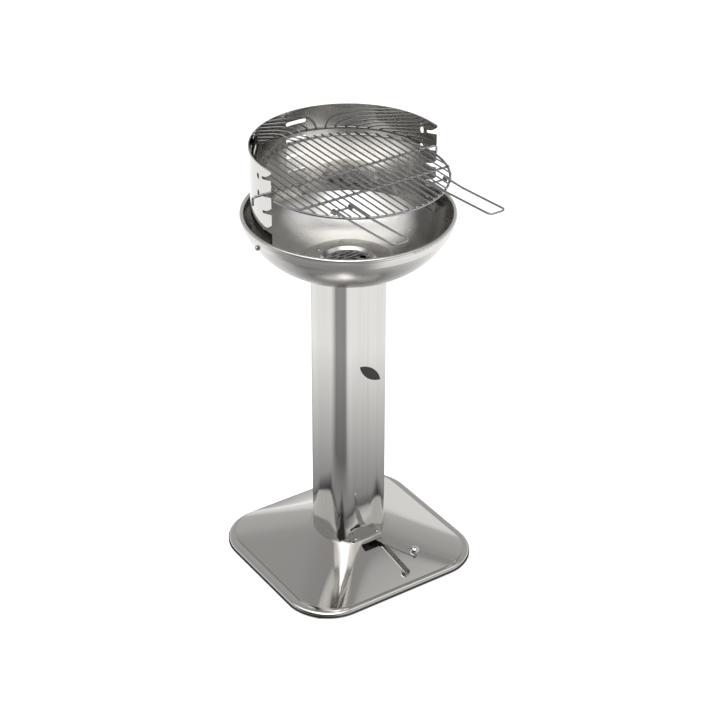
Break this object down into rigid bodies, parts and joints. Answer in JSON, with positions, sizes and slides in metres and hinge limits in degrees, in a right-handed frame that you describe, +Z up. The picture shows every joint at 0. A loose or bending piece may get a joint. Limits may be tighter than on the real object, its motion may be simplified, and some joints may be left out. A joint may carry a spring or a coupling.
{
  "type": "charcoal grill",
  "caption": "Charcoal grill on a square column and a pressed foot: round bowl, curved windshield, notch-hung wire cooking grid with fold-over handles, and a lever damper below.",
  "frame": {"origin": "on the floor, midway between the four glides, under the axis of the column and the bowl", "axes": "+Z up, -Y towards the open front of the windshield where the handles point, +X to the right seen from the front"},
  "size_m": [0.472, 0.5722, 1.0175],
  "materials": {
    "polished_steel": "mirror-polished stainless sheet",
    "satin_steel": "plain stainless, satin",
    "chromed_wire": "bright chrome plate on wire",
    "fasteners": "plain steel fasteners",
    "knob_steel": "polished metal ball",
    "badge_black": "black enamel, semi-gloss",
    "rubber": "matt black rubber"
  },
  "bodies": {
    "frame": {"foot_plate": "polished_steel", "foot_glides": "rubber", "foot_flange": "satin_steel", "foot_bolts": "fasteners", "foot_nuts": "fasteners", "column": "polished_steel", "badge": "badge_black", "top_flange": "satin_steel", "bowl": "polished_steel", "bowl_bolts": "fasteners", "bowl_nuts": "fasteners", "windshield": "polished_steel", "shield_screws": "fasteners", "shield_saddles": "fasteners", "shield_spacers": "fasteners", "shield_nuts": "fasteners", "pivot_bolt": "fasteners", "pivot_nut": "fasteners"},
    "charcoal_grate": {"charcoal_grate": "satin_steel"},
    "cooking_grid": {"grid_ring": "chromed_wire", "grid_bars": "chromed_wire", "cross_wire_rear": "chromed_wire", "cross_wire_front": "chromed_wire", "hanging_hooks": "chromed_wire", "hinge_wire_left": "chromed_wire", "hinge_wire_right": "chromed_wire"},
    "handle_left": {"handle_left": "chromed_wire"},
    "handle_right": {"handle_right": "chromed_wire"},
    "damper": {"damper_disc": "satin_steel", "vent_lever": "satin_steel", "lever_rivets": "fasteners", "lever_knob": "knob_steel", "knob_screw": "fasteners"}
  },
  "joints": [
    {"name": "grid_lift_out", "type": "slide", "parent": "frame", "child": "cooking_grid", "axis": [0, -0.9681, 0.2507], "range_m": [0, 0.06]},
    {"name": "handle_left_swing", "type": "hinge", "parent": "cooking_grid", "child": "handle_left", "pos_m": [-0.1075, -0.1405, 0.95475], "axis": [-1, 0, 0], "range_deg": [0, 167]},
    {"name": "handle_right_swing", "type": "hinge", "parent": "cooking_grid", "child": "handle_right", "pos_m": [0.124, -0.1405, 0.95475], "axis": [-1, 0, 0], "range_deg": [0, 167]},
    {"name": "grate_lift_out", "type": "slide", "parent": "frame", "child": "charcoal_grate", "axis": [0, 0, 1], "range_m": [0, 0.1]},
    {"name": "damper_turn", "type": "hinge", "parent": "frame", "child": "damper", "pos_m": [0, 0, 0.067], "axis": [0, 0, 1], "range_deg": [-22.5, 0]}
  ]
}
